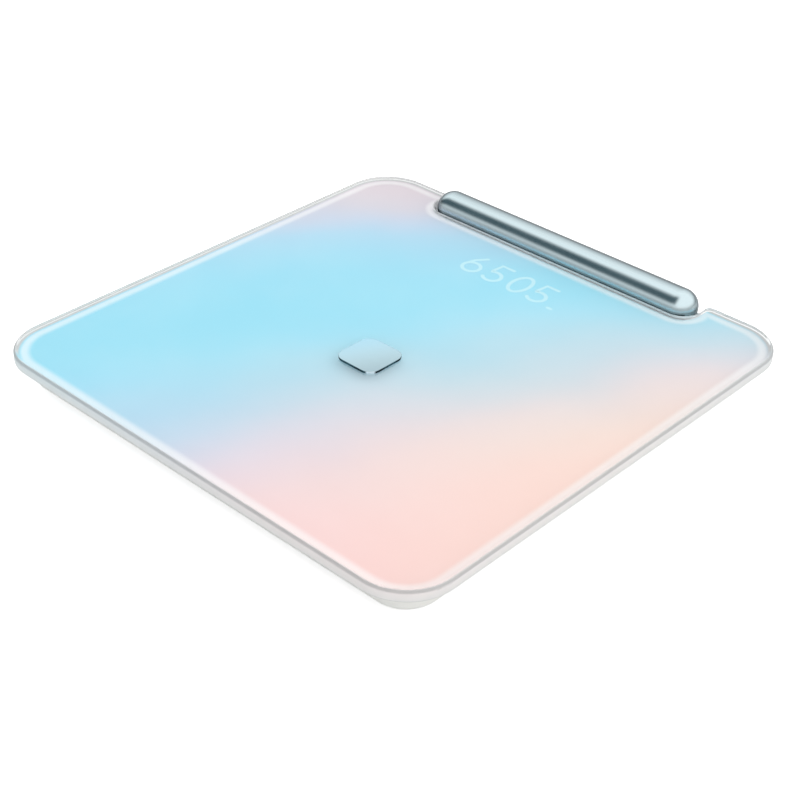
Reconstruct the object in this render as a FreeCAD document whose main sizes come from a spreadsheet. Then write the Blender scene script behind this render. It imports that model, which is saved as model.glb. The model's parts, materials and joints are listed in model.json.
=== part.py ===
"""Digital bathroom scale with a lift-out handle: a parametric document of separate pieces.

Frame: millimetres, +Z up, origin on the floor under the middle of the platform. +X runs along
the handle and +Y points towards it. The front of the scale is -Y.
"""
import FreeCAD, Part
import math
import os
import Sketcher

doc = FreeCAD.newDocument("bathroom_scale")
dims = doc.addObject("Spreadsheet::Sheet", "dims")

# Driving dimensions in millimetres, written to the sheet row by row: alias, value, meaning.
DIMENSIONS = [
    ("platform", 300.0, "side of the square glass platform"),
    ("corner", 28.5, "plan radius of the platform's corners"),
    ("glass_top", 24.0, "height of the standing surface above the floor"),
    ("glass", 6.4, "thickness of the tempered glass"),
    ("glass_edge", 2.2, "rounding of the glass's upper edge"),
    ("glass_arris", 0.6, "rounding of the glass's lower edge"),
    ("film_gap", 0.1, "clear lamination layer under the glass"),
    ("film", 0.2, "thickness of the decorative film"),
    ("film_inset", 1.2, "clear rim between the glass's edge and the film"),
    ("film_mouth", 2.8, "plan radius of the film beside the handle notch"),
    ("tape", 0.3, "thickness of the bonding tape"),
    ("tape_width", 4.0, "width of the bonding tape frame"),
    ("notch_half", 95.0, "half the length of the handle notch"),
    ("notch_front", 128.6, "distance of the notch's front edge from the middle"),
    ("notch_corner", 11.0, "plan radius of the notch's inner corners"),
    ("notch_mouth", 4.0, "plan radius where the notch meets the back edge"),
    ("badge", 27.0, "side of the square centre badge"),
    ("badge_corner", 6.5, "plan radius of the badge's corners"),
    ("badge_height", 1.3, "height of the badge above the glass"),
    ("badge_edge", 0.25, "bevel around the badge's top"),
    ("badge_back", 19.5, "how far the badge sits in front of the middle"),
    ("tray_bottom", 3.5, "height of the tray's underside above the floor"),
    ("tray_top", 17.0, "height of the tray's upper rim"),
    ("tray_inset", 10.0, "how far the tray's side sits inside the glass"),
    ("flange_inset", 7.5, "how far the tray's bonding flange sits inside the glass"),
    ("tray_flange", 1.4, "thickness of the tray's bonding flange"),
    ("tray_wall", 2.2, "wall and floor thickness of the tray"),
    ("tray_edge", 3.0, "rounding of the tray's lower edge"),
    ("handle_radius", 10.3, "radius of the handle bar"),
    ("handle_half", 93.5, "half the length of the handle bar"),
    ("handle_back", 139.6, "distance of the handle's axis from the middle"),
    ("handle_axis", 23.0, "height of the handle's axis above the floor"),
    ("handle_wall", 1.0, "wall of the handle's steel tube"),
    ("handle_bore", 5.0, "radius of the bore through the handle's core"),
    ("spigot", 6.0, "length of a cap's spigot inside the tube"),
    ("electrode_depth", 0.5, "how deep a hand electrode is let into the tube"),
    ("electrode_length", 31.0, "length of one hand electrode"),
    ("electrode_width", 12.0, "width of one hand electrode, measured straight across"),
    ("electrode_inner", 28.0, "distance of an inner electrode's middle from the bar's middle"),
    ("electrode_outer", 64.0, "distance of an outer electrode's middle from the bar's middle"),
    ("cradle_front", 127.4, "distance of the cradle's front face from the middle"),
    ("cradle_gap", 0.5, "clearance between the handle and its cradle"),
    ("cradle_back", 146.0, "distance of the cradle's back face from the middle"),
    ("cradle_bottom", 9.2, "height of the cradle's underside"),
    ("cradle_flange", 9.0, "how far the cradle's flange reaches under the glass beside the notch"),
    ("cradle_lip", 2.2, "height of the cradle's lip inside the notch, above the tray's rim"),
    ("lip_gap", 0.45, "gap between the cradle's lip and the notch"),
    ("cutter", 40.0, "depth of a cutter that passes the platform's back edge"),
    ("seat_overlap", 0.5, "how far a rib, post or lip runs into what it stands on"),
    ("holder_rim", 2.0, "rim of a load cell's holder round the cell"),
    ("magnet_radius", 3.0, "radius of a holding magnet"),
    ("magnet_height", 2.0, "height of a holding magnet"),
    ("magnet_place", 60.0, "distance of a magnet from the middle"),
    ("gland_radius", 3.0, "radius of the cord glands"),
    ("gland_bore", 1.6, "radius of the hole through a cord gland"),
    ("foot_across", 112.0, "distance of a foot from the middle, left and right"),
    ("foot_along", 108.0, "distance of a foot from the middle, front and back"),
    ("pad_radius", 15.0, "radius of a rubber foot pad"),
    ("pad", 1.4, "thickness of a foot pad"),
    ("foot_radius", 16.5, "radius of a foot's disc"),
    ("foot_disc", 1.4, "thickness of a foot's disc"),
    ("neck_radius", 12.5, "radius of a foot's neck"),
    ("neck_top", 7.6, "height of the neck's top"),
    ("button_top", 8.2, "height of the load button on the neck"),
    ("load_pin", 2.0, "radius of the pin that centres a load cell"),
    ("cell_side", 34.0, "side of a square load cell"),
    ("cell", 2.5, "thickness of a load cell"),
    ("cell_bottom", 9.0, "height of a load cell's underside"),
    ("slot_side", 25.0, "side of the slot round a load cell's tongue"),
    ("slot", 3.5, "width of the slot round a load cell's tongue"),
    ("bay_width", 46.0, "inside width of the battery bay"),
    ("bay_length", 52.0, "inside length of the battery bay"),
    ("bay_wall", 1.6, "wall of the battery bay"),
    ("bay_front", 84.0, "how far the battery bay's middle is in front of the platform's"),
    ("bay_roof", 16.0, "height of the battery bay's ceiling"),
    ("door", 1.6, "thickness of the battery door"),
    ("door_gap", 0.4, "gap round the battery door"),
    ("battery_radius", 5.25, "radius of one AAA cell"),
    ("battery_length", 43.3, "length of one AAA cell without its cap"),
    ("battery_pitch", 11.0, "distance between neighbouring cells"),
    ("knob_radius", 4.0, "radius of the unit button"),
    ("knob_across", 48.0, "distance of the unit button from the middle"),
    ("knob_travel", 0.9, "room between the unit button's stem and its switch"),
    ("switch_board", 9.8, "height of the switch board's underside"),
    ("reel_back", 38.0, "how far the cord reel is behind the middle"),
    ("reel_radius", 30.0, "outer radius of the cord reel's housing"),
    ("reel_wall", 1.5, "wall of the cord reel's housing"),
    ("reel_bottom", 5.9, "height of the cord reel's underside"),
    ("reel_top", 15.0, "height of the underside of the reel's cover"),
    ("drum_radius", 18.0, "radius that the cord winds on"),
    ("flange_radius", 27.5, "radius of the drum's flanges"),
    ("flange", 0.8, "thickness of a drum flange"),
    ("axle_radius", 2.5, "radius of the reel's axle"),
    ("running_gap", 0.05, "radial clearance of the drum on its axle"),
    ("board", 1.2, "thickness of a circuit board"),
    ("display_back", 97.8, "how far the display's middle is behind the platform's"),
    ("display_width", 84.0, "width of the display module"),
    ("display_depth", 29.0, "depth of the display module, front to back"),
    ("display_bottom", 10.4, "height of the display board's underside"),
    ("main_left", 56.0, "how far the main board's middle is left of the platform's"),
    ("main_front", 34.0, "how far the main board's middle is in front of the platform's"),
    ("main_width", 56.0, "width of the main board"),
    ("main_depth", 42.0, "depth of the main board, front to back"),
    ("main_bottom", 8.2, "height of the main board's underside"),
    ("screw_radius", 1.0, "radius of a screw's shank"),
    ("screw_head", 2.0, "radius of a screw's head"),
    ("rib", 1.6, "thickness of the tray's ribs"),
    ("rib_height", 1.8, "height of the tray's ribs above its floor"),
    ("wire_radius", 0.8, "radius of an inner cable"),
    ("wire_height", 10.4, "height at which the inner cables run"),
    ("wire_bend", 4.0, "bend radius of the inner cables"),
]


class Size:
    """A length that knows its value and the sheet expression that gives it."""

    def __init__(self, value, text):
        self.value = float(value)
        self.text = text

    def __add__(self, other):
        other = as_size(other)
        return Size(self.value + other.value, f"({self.text} + {other.text})")

    def __radd__(self, other):
        return as_size(other) + self

    def __sub__(self, other):
        other = as_size(other)
        return Size(self.value - other.value, f"({self.text} - {other.text})")

    def __rsub__(self, other):
        return as_size(other) - self

    def __mul__(self, factor):
        return Size(self.value * factor, f"({self.text} * {factor})")

    __rmul__ = __mul__

    def __truediv__(self, factor):
        return Size(self.value / factor, f"({self.text} / {factor})")

    def __neg__(self):
        return Size(-self.value, f"(0 - {self.text})")


def as_size(number):
    """A plain number as a Size; a Size stays as it is."""
    return number if isinstance(number, Size) else Size(number, repr(float(number)))


class Dimensions:
    """The sheet's cells, each an attribute named by its alias."""


d = Dimensions()
for row, (alias, number, meaning) in enumerate(DIMENSIONS, start=1):
    dims.set(f"A{row}", str(number))
    dims.set(f"B{row}", meaning)
    dims.setAlias(f"A{row}", alias)
    setattr(d, alias, Size(number, f"dims.{alias}"))
doc.recompute()

nodes = []


def node(label, piece):
    """Names a finished sub-part and lists it for export."""
    piece.Label = label
    nodes.append(piece)
    return piece


def bind(piece, prop, size):
    """Sets one property and binds it to the sheet."""
    piece.setExpression(prop, as_size(size).text)


def place(piece, x=0, y=0, z=0):
    """Puts a piece's origin at a point."""
    for letter, size in zip("xyz", (x, y, z)):
        bind(piece, f"Placement.Base.{letter}", size)
    return piece


def box(name, x, y, z, width, depth, height):
    """A box standing on height z, centred on x, y."""
    piece = doc.addObject("Part::Box", name)
    x, y = as_size(x), as_size(y)
    bind(piece, "Length", width)
    bind(piece, "Width", depth)
    bind(piece, "Height", height)
    return place(piece, x - as_size(width) / 2, y - as_size(depth) / 2, z)


TURN = {
    "Z": FreeCAD.Rotation(),
    "X": FreeCAD.Rotation(FreeCAD.Vector(0, 1, 0), 90),
    "Y": FreeCAD.Rotation(FreeCAD.Vector(1, 0, 0), -90),
}


def rod(name, x, y, z, radius, length, axis="Z"):
    """A cylinder that starts at a point and runs along an axis."""
    piece = doc.addObject("Part::Cylinder", name)
    piece.Placement.Rotation = TURN[axis]
    bind(piece, "Radius", radius)
    bind(piece, "Height", length)
    return place(piece, x, y, z)


def ball(name, x, y, z, radius):
    """A whole sphere centred on a point."""
    piece = doc.addObject("Part::Sphere", name)
    bind(piece, "Radius", radius)
    return place(piece, x, y, z)


def fuse(name, pieces):
    """Several solids joined into one."""
    joined = doc.addObject("Part::MultiFuse", name)
    joined.Shapes = pieces
    joined.Refine = True
    return joined


def group(name, pieces):
    """Several separate solids kept side by side in one object."""
    kept = doc.addObject("Part::Compound", name)
    kept.Links = pieces
    return kept


def cut(name, base, tools):
    """One solid less one or more others."""
    tool = tools[0] if len(tools) == 1 else fuse(f"{name}_tools", tools)
    result = doc.addObject("Part::Cut", name)
    result.Base = base
    result.Tool = tool
    result.Refine = True
    return result


def common(name, base, tool):
    """What two solids share."""
    result = doc.addObject("Part::Common", name)
    result.Base = base
    result.Tool = tool
    return result


def sketch_on(body, name, height):
    """A sketch on the body's own XY plane, lifted to a height."""
    sketch = body.newObject("Sketcher::SketchObject", name)
    plane = next(f for f in body.Origin.OriginFeatures if f.Role == "XY_Plane")
    sketch.AttachmentSupport = [(plane, "")]
    sketch.MapMode = "FlatFace"
    bind(sketch, "AttachmentOffset.Base.z", height)
    return sketch


def draw_rounded_rectangle(sketch, x, y, width, depth, radius):
    """A rounded rectangle centred on x, y, with its sizes bound to the sheet."""
    x, y, width, depth, radius = (as_size(size) for size in (x, y, width, depth, radius))
    half_x, half_y, r = width.value / 2, depth.value / 2, radius.value
    corners = [(1, 1, 0), (-1, 1, 90), (-1, -1, 180), (1, -1, 270)]
    arcs = []
    for side_x, side_y, start in corners:
        middle = FreeCAD.Vector(x.value + side_x * (half_x - r), y.value + side_y * (half_y - r), 0)
        circle = Part.Circle(middle, FreeCAD.Vector(0, 0, 1), r)
        arc = Part.ArcOfCircle(circle, math.radians(start), math.radians(start + 90))
        arcs.append(sketch.addGeometry(arc, False))
    lines = []
    for first, second in zip(arcs, arcs[1:] + arcs[:1]):
        ends = sketch.Geometry[first].EndPoint, sketch.Geometry[second].StartPoint
        line = sketch.addGeometry(Part.LineSegment(*ends), False)
        sketch.addConstraint(Sketcher.Constraint("Tangent", first, 2, line, 1))
        sketch.addConstraint(Sketcher.Constraint("Tangent", line, 2, second, 1))
        lines.append(line)
    sketch.addConstraint(Sketcher.Constraint("Horizontal", lines[0]))
    sketch.addConstraint(Sketcher.Constraint("Vertical", lines[1]))
    sketch.addConstraint(Sketcher.Constraint("Horizontal", lines[2]))
    for arc in arcs[1:]:
        sketch.addConstraint(Sketcher.Constraint("Equal", arcs[0], arc))

    def measure(kind, *where, size):
        index = sketch.addConstraint(Sketcher.Constraint(kind, *where, size.value))
        sketch.setExpression(f"Constraints[{index}]", size.text)

    measure("Radius", arcs[0], size=radius)
    measure("DistanceX", lines[2], 1, lines[2], 2, size=width - 2 * radius)
    measure("DistanceY", lines[1], 2, lines[1], 1, size=depth - 2 * radius)
    measure("DistanceX", -1, 1, arcs[0], 3, size=x + width / 2 - radius)
    measure("DistanceY", -1, 1, arcs[0], 3, size=y + depth / 2 - radius)


def rounded_body(name, x, y, z, width, depth, radius, height):
    """A body with one pad: a rounded rectangular plate standing on height z."""
    body = doc.addObject("PartDesign::Body", name)
    sketch = sketch_on(body, f"{name}_outline", z)
    draw_rounded_rectangle(sketch, x, y, width, depth, radius)
    pad = body.newObject("PartDesign::Pad", f"{name}_pad")
    pad.Profile = sketch
    bind(pad, "Length", height)
    return body


def add_pocket(body, name, z, x, y, width, depth, radius, down):
    """Cuts a rounded rectangular pocket downwards from height z."""
    doc.recompute()
    before = body.Shape.Volume
    sketch = sketch_on(body, f"{name}_outline", z)
    draw_rounded_rectangle(sketch, x, y, width, depth, radius)
    pocket = body.newObject("PartDesign::Pocket", f"{name}_pocket")
    pocket.Profile = sketch
    bind(pocket, "Length", down)
    doc.recompute()
    if body.Shape.Volume >= before:
        pocket.Reversed = True
        doc.recompute()
    assert body.Shape.Volume < before, f"{name} cuts nothing"
    return pocket


def fillet_edges(body, name, radius, wanted):
    """Rounds those edges of a body for which wanted(edge) is true."""
    doc.recompute()
    names = [f"Edge{i}" for i, edge in enumerate(body.Shape.Edges, start=1) if wanted(edge)]
    assert names, f"{name} finds no edge"
    base = body.Tip
    feature = body.newObject("PartDesign::Fillet", name)
    feature.Base = (base, names)
    bind(feature, "Radius", radius)
    doc.recompute()
    return feature


def lies_at(edge, z):
    """Whether a whole edge lies at one height."""
    box_of_edge = edge.BoundBox
    return abs(box_of_edge.ZMin - z) < 1e-4 and abs(box_of_edge.ZMax - z) < 1e-4


def stands_at(edge, x, y):
    """Whether an edge is upright at a place, on either side of the middle."""
    middle = edge.CenterOfMass
    upright = edge.BoundBox.ZLength > 0.9 * edge.Length
    return upright and abs(abs(middle.x) - x) < 0.01 and abs(middle.y - y) < 0.01


def notched_plate(name, inset, z, height, mouth):
    """The platform's outline, set in all round, as a plate with the handle notch in its back."""
    side = d.platform - 2 * inset
    notch_front = d.notch_front - inset
    depth = d.platform - notch_front
    body = rounded_body(name, 0, 0, z, side, side, d.corner - inset, height)
    add_pocket(body, f"{name}_notch", z + height, 0, notch_front + depth / 2,
               2 * (d.notch_half + inset), depth, d.notch_corner + inset, height + 1)
    mouth_x = (d.notch_half + inset).value
    mouth_y = (d.platform / 2 - inset).value
    fillet_edges(body, f"{name}_mouth", mouth, lambda edge: stands_at(edge, mouth_x, mouth_y))
    return body


# ---------------------------------------------------------------- the platform's upper layers

def make_glass():
    """Tempered glass with the handle notch, well rounded above and slightly below."""
    bottom = d.glass_top - d.glass
    body = notched_plate("glass_body", as_size(0), bottom, d.glass, d.notch_mouth)
    fillet_edges(body, "upper_edge", d.glass_edge, lambda edge: lies_at(edge, d.glass_top.value))
    fillet_edges(body, "lower_edge", d.glass_arris, lambda edge: lies_at(edge, bottom.value))
    node("glass_platform", body)


def make_film():
    """The coloured film behind the glass, short of the edge by a clear rim."""
    bottom = d.glass_top - d.glass - d.film_gap - d.film
    node("decor_film", notched_plate("film_body", d.film_inset, bottom, d.film, d.film_mouth))
    return bottom


def make_tape(film_bottom):
    """A frame of bonding tape between the film and the tray's rim."""
    inset = d.flange_inset + 0.5
    outer = notched_plate("tape_outer", inset, film_bottom - d.tape, d.tape, 2.5)
    side = d.platform - 2 * (inset + d.tape_width)
    inner_front = (d.platform / 2 - inset - d.tape_width)
    inner_back = d.notch_front - inset - d.tape_width
    inner = rounded_body("tape_inner", 0, (inner_back - inner_front) / 2, film_bottom - 2 * d.tape,
                         side, inner_front + inner_back, 12, 3 * d.tape)
    node("bonding_tape", cut("tape_frame", outer, [inner]))


def make_badge():
    """A plain polished metal badge on the glass, with a fine bevel round its top."""
    body = rounded_body("badge_body", 0, -d.badge_back, d.glass_top, d.badge, d.badge,
                        d.badge_corner, d.badge_height)
    top = (d.glass_top + d.badge_height).value
    fillet_edges(body, "badge_bevel", d.badge_edge, lambda edge: lies_at(edge, top))
    node("centre_badge", body)


# ---------------------------------------------------------------- places that pieces share

def feet():
    """Name and place of each foot."""
    for end, side_y in (("front", -1), ("back", 1)):
        for side, side_x in (("left", -1), ("right", 1)):
            yield f"{end}_{side}", side_x, d.foot_across * side_x, d.foot_along * side_y


def main_screw_places():
    """The main board's four screws, near its corners."""
    for side_x in (-1, 1):
        for side_y in (-1, 1):
            yield (-d.main_left + side_x * (d.main_width / 2 - 4),
                   -d.main_front + side_y * (d.main_depth / 2 - 4))


def display_screw_places():
    """The display board's two screws, beside the light box."""
    for side_x in (-1, 1):
        yield side_x * (d.display_width / 2 + 4), d.display_back


def cradle_screw_places():
    """The handle cradle's two screws, which come up from below."""
    for side_x in (-1, 1):
        yield side_x * (d.magnet_place - 24), d.cradle_front + 6


def switch_screw_places():
    """The switch board's two screws."""
    for side_x in (-1, 1):
        yield d.knob_across + side_x * 9, -d.bay_front


def reel_lug_places():
    """The cord reel's three screw lugs, round its housing."""
    for angle in (90, 210, 330):
        reach = d.reel_radius + 1.6
        turn = math.radians(angle + 30)
        yield reach * round(math.cos(turn), 4), d.reel_back + reach * round(math.sin(turn), 4)


# ---------------------------------------------------------------- the tray under the glass

def make_tray():
    """The moulded base: walls with a bonding flange, ribs, posts, battery bay and openings."""
    floor = d.tray_bottom + d.tray_wall
    height = d.tray_top - d.tray_bottom
    side = d.platform - 2 * d.tray_inset
    corner = d.corner - d.tray_inset
    body = rounded_body("tray_body", 0, 0, d.tray_bottom, side, side, corner, height)
    low = d.tray_bottom.value
    fillet_edges(body, "tray_round", d.tray_edge, lambda edge: lies_at(edge, low))
    flange_side = d.platform - 2 * d.flange_inset
    flange = rounded_body("tray_flange", 0, 0, d.tray_top - d.tray_flange, flange_side,
                          flange_side, d.corner - d.flange_inset, d.tray_flange)
    thick = 2 * d.tray_wall
    hollow = rounded_body("tray_hollow", 0, 0, floor, side - thick, side - thick,
                          corner - d.tray_wall, height)
    shell = cut("tray_shell", fuse("tray_outside", [body, flange]), [hollow])

    root = floor - d.seat_overlap
    rib_tall = d.rib_height + d.seat_overlap
    adds = [box(f"rib_long_{i}", x, -8, root, d.rib, 160, rib_tall)
            for i, x in enumerate((-88.0, 88.0))]
    adds += [box(f"rib_cross_{i}", 0, y, root, 174, d.rib, rib_tall)
             for i, y in enumerate((-118.0, -2.0))]
    adds.append(box("bay_block", 0, -d.bay_front, d.tray_bottom, d.bay_width + 2 * d.bay_wall,
                    d.bay_length + 2 * d.bay_wall, d.tray_top - d.tray_bottom))
    removes = []
    for name, _, x, y in feet():
        adds.append(rod(f"collar_{name}", x, y, root, d.neck_radius + 2.6, rib_tall))
        removes.append(rod(f"foot_hole_{name}", x, y, d.tray_bottom - 1, d.neck_radius + 0.6,
                           d.tray_wall + 5))

    posts = [("main", x, y, d.main_bottom) for x, y in main_screw_places()]
    posts += [("display", x, y, d.display_bottom) for x, y in display_screw_places()]
    posts += [("switch", x, y, d.switch_board) for x, y in switch_screw_places()]
    posts += [("reel", x, y, d.reel_bottom) for x, y in reel_lug_places()]
    for i, (name, x, y, top) in enumerate(posts):
        adds.append(rod(f"{name}_post_{i}", x, y, root, 2.6, top - root))
        removes.append(rod(f"{name}_post_hole_{i}", x, y, d.tray_bottom + 0.8,
                           d.screw_radius + 0.02, top))
    for i, (x, y) in enumerate(cradle_screw_places()):
        adds.append(rod(f"cradle_post_{i}", x, y, root, 3.6, d.cradle_bottom - root))
        removes.append(rod(f"cradle_screw_hole_{i}", x, y, d.tray_bottom - 1,
                           d.screw_radius + 0.1, 10))
        removes.append(rod(f"cradle_head_hole_{i}", x, y, d.tray_bottom - 1,
                           d.screw_head + 0.3, 3))

    behind = d.platform / 2 - d.cradle_front + d.cradle_gap
    removes.append(box("cradle_room", 0, d.cradle_front - d.cradle_gap + behind / 2,
                       d.cradle_bottom, 2 * d.notch_half + 1, behind, 20))
    reach = d.cradle_flange + d.cradle_gap
    removes.append(box("flange_room", 0, d.notch_front - reach + d.cutter / 2,
                       d.tray_top - d.tray_flange - 0.1, 2 * (d.notch_half + reach), d.cutter, 5))
    removes.append(rod("bush_room", 0, d.handle_back, d.cradle_bottom - 1.2,
                       d.gland_radius + 1.8, 3))
    removes.append(box("bay_room", 0, -d.bay_front, d.tray_bottom - 1, d.bay_width, d.bay_length,
                       d.bay_roof - d.tray_bottom + 1))
    removes.append(box("finger_scoop", 0, -d.bay_front + d.bay_length / 2 + 3.5,
                       d.tray_bottom - 1, 16, 8, 1.9))
    removes.append(rod("knob_hole", d.knob_across, -d.bay_front, d.tray_bottom - 1,
                       d.knob_radius + 0.4, d.tray_wall + 2))
    node("base_tray", cut("tray_cut", fuse("tray_whole", [shell] + adds), removes))


def capsule(name, radius):
    """The handle's round-ended shape at any radius about its axis."""
    reach = d.handle_half - d.handle_radius
    barrel = rod(f"{name}_barrel", -reach, d.handle_back, d.handle_axis, radius, 2 * reach, "X")
    ends = [ball(f"{name}_end_{side}", side * reach, d.handle_back, d.handle_axis, radius)
            for side in (-1, 1)]
    return fuse(name, [barrel] + ends)


def make_cradle():
    """The trough that the handle lies in, with its magnets and the bush for the cord."""
    depth = d.cradle_back - d.cradle_front
    trough = rounded_body("cradle_body", 0, d.cradle_front + depth / 2, d.cradle_bottom,
                          2 * d.notch_half, depth, 4, d.tray_top - d.cradle_bottom)
    flange_front = d.notch_front - d.cradle_flange
    flange_depth = d.platform / 2 - d.flange_inset - flange_front
    flange = rounded_body("cradle_flange", 0, flange_front + flange_depth / 2,
                          d.tray_top - d.tray_flange, 2 * (d.notch_half + d.cradle_flange),
                          flange_depth, 3, d.tray_flange)
    lip_front = d.notch_front + d.lip_gap
    lip = rounded_body("cradle_lip", 0, lip_front + d.cutter / 2, d.tray_top - d.seat_overlap,
                       2 * (d.notch_half - d.lip_gap), d.cutter, d.notch_corner - d.lip_gap,
                       d.cradle_lip + d.seat_overlap)
    body = fuse("cradle_whole", [trough, flange, lip])
    removes = [capsule("cradle_trough", d.handle_radius + d.cradle_gap),
               box("cradle_end", 0, d.cradle_back + d.cutter / 2, d.tray_top - 2, d.platform,
                   d.cutter, 10)]
    magnets = []
    holder = d.cell_side + 2 * (d.holder_rim + d.cradle_gap)
    for side in (-1, 1):
        x = side * d.magnet_place
        removes.append(box(f"cradle_corner_{side}", side * d.foot_across, d.foot_along,
                           d.tray_top - 2, holder, holder, 4))
        removes.append(rod(f"cradle_pocket_{side}", x, d.handle_back, d.cradle_bottom - 1,
                           d.magnet_radius, d.magnet_height + 1))
        magnets.append(rod(f"cradle_magnet_{side}", x, d.handle_back, d.cradle_bottom,
                           d.magnet_radius, d.magnet_height))
    removes.append(rod("cradle_cord_hole", 0, d.handle_back, d.cradle_bottom - 1,
                       d.gland_radius, 10))
    for i, (x, y) in enumerate(cradle_screw_places()):
        removes.append(rod(f"cradle_thread_{i}", x, y, d.cradle_bottom - 1,
                           d.screw_radius + 0.02, 4))
    node("handle_cradle", cut("cradle_cut", body, removes))
    node("cradle_magnets", group("cradle_magnet_pair", magnets))

    stem = rod("bush_stem", 0, d.handle_back, d.cradle_bottom, d.gland_radius, 2.7)
    collar = rod("bush_collar", 0, d.handle_back, d.cradle_bottom - 1, d.gland_radius + 1.5, 1)
    bore = rod("bush_bore", 0, d.handle_back, d.cradle_bottom - 2, d.gland_bore, 6)
    node("cord_exit_bush", cut("bush_cut", fuse("bush_whole", [stem, collar]), [bore]))


# ---------------------------------------------------------------- the lift-out handle

def electrode_places():
    """The middles of the four hand electrodes along the bar."""
    for side in (-1, 1):
        yield side * d.electrode_inner
        yield side * d.electrode_outer


def make_handle():
    """A steel tube with round caps over a plastic core, electrodes, magnets and a cord gland."""
    reach = d.handle_half - d.handle_radius
    inner = d.handle_radius - d.handle_wall

    def bar(name, radius, half):
        return rod(name, -half, d.handle_back, d.handle_axis, radius, 2 * half, "X")

    def strips(name):
        ring = cut(f"{name}_ring", bar(f"{name}_outer", d.handle_radius, reach - 1),
                   [bar(f"{name}_inner", d.handle_radius - d.electrode_depth, reach)])
        low = d.handle_axis - d.handle_radius - 1
        boxes = [box(f"{name}_box_{i}", x, d.handle_back, low, d.electrode_length,
                     d.electrode_width, 8)
                 for i, x in enumerate(electrode_places())]
        return common(name, ring, fuse(f"{name}_boxes", boxes))

    low = d.handle_axis - d.handle_radius
    gland_room = rod("gland_room", 0, d.handle_back, low - 1, d.gland_radius, 6)
    tube = cut("tube_cut", bar("tube_outer", d.handle_radius, reach),
               [bar("tube_inner", inner, reach + 1), strips("strip_room"), gland_room])
    node("handle_tube", tube)
    node("hand_electrodes", strips("strips"))

    core_half = reach - d.spigot - 0.2
    magnet_low = low + d.handle_wall + 0.6
    pockets = []
    magnets = []
    for side in (-1, 1):
        x = side * d.magnet_place
        pockets.append(rod(f"core_pocket_{side}", x, d.handle_back, magnet_low - 2,
                           d.magnet_radius, d.magnet_height + 2))
        magnets.append(rod(f"handle_magnet_{side}", x, d.handle_back, magnet_low,
                           d.magnet_radius, d.magnet_height))
    core_gland_room = rod("core_gland_room", 0, d.handle_back, low - 1, d.gland_radius, 6)
    core = cut("core_cut", bar("core_outer", inner - 0.05, core_half),
               [bar("core_bore", d.handle_bore, core_half + 1), core_gland_room] + pockets)
    node("handle_core", core)
    node("handle_magnets", group("handle_magnet_pair", magnets))

    gland = rod("gland_outer", 0, d.handle_back, low + 0.2, d.gland_radius, 4.8)
    gland_hole = rod("gland_hole", 0, d.handle_back, low - 1, d.gland_bore, 8)
    node("handle_cord_gland", cut("gland_cut", gland, [gland_hole]))

    for side, label in ((-1, "handle_cap_left"), (1, "handle_cap_right")):
        dome = ball(f"{label}_ball", side * reach, d.handle_back, d.handle_axis, d.handle_radius)
        keep = box(f"{label}_keep", side * (reach + d.handle_radius), d.handle_back, 0,
                   2 * d.handle_radius, 60, 60)
        start = side * reach - d.spigot if side > 0 else side * reach
        spigot = rod(f"{label}_spigot", start, d.handle_back, d.handle_axis, inner - 0.05,
                     d.spigot, "X")
        hollow = rod(f"{label}_hollow", side * reach - d.spigot - 1, d.handle_back,
                     d.handle_axis, inner - 2, 2 * d.spigot + 2, "X")
        whole = fuse(f"{label}_whole", [common(f"{label}_dome", dome, keep), spigot])
        node(label, cut(f"{label}_cut", whole, [hollow]))


# ---------------------------------------------------------------- feet and load cells

def make_foot(name, side_x, x, y):
    """One corner: rubber pad, foot, load cell and the holder that bears on the platform."""
    node(f"foot_pad_{name}", rod(f"pad_{name}", x, y, 0, d.pad_radius, d.pad))
    disc = rod(f"disc_{name}", x, y, d.pad, d.foot_radius, d.foot_disc)
    neck = rod(f"neck_{name}", x, y, d.pad + d.foot_disc, d.neck_radius,
               d.neck_top - d.pad - d.foot_disc)
    knob = rod(f"load_button_{name}", x, y, d.neck_top, 5, d.button_top - d.neck_top)
    pin = rod(f"load_pin_{name}", x, y, d.button_top, d.load_pin, 2.6)
    node(f"foot_{name}", fuse(f"foot_whole_{name}", [disc, neck, knob, pin]))

    plate = box(f"cell_plate_{name}", x, y, d.cell_bottom, d.cell_side, d.cell_side, d.cell)
    low = d.cell_bottom - 1
    tall = d.cell + 2
    across = (d.slot_side - d.slot) / 2
    slots = [box(f"cell_slot_{name}_{side}", x + side * across, y, low, d.slot, d.slot_side, tall)
             for side in (-1, 1)]
    slots.append(box(f"cell_slot_{name}_end", x, y - across, low, d.slot_side, d.slot, tall))
    slots.append(rod(f"cell_hole_{name}", x, y, low, d.load_pin + 0.3, tall))
    node(f"load_cell_{name}", cut(f"cell_{name}", plate, slots))

    outer = d.cell_side + 2 * d.holder_rim
    holder = box(f"holder_outer_{name}", x, y, d.cell_bottom - 0.6, outer, outer,
                 d.tray_top - d.cell_bottom + 0.6)
    room = box(f"holder_room_{name}", x, y, low, d.cell_side + 0.2, d.cell_side + 0.2,
               d.cell + 1)
    hole = box(f"holder_hole_{name}", x, y, low, d.cell_side - 6, d.cell_side - 6, 20)
    wire_way = box(f"holder_way_{name}", x - side_x * outer / 2, y, low, 8, 4, d.cell + 1)
    node(f"load_cell_holder_{name}", cut(f"holder_{name}", holder, [room, hole, wire_way]))


# ---------------------------------------------------------------- power

def cell_places():
    """Place across the bay of each battery, and which end its positive cap is at."""
    for i in range(4):
        yield i, d.battery_pitch * (i - 1.5), 1 if i % 2 else -1


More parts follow.
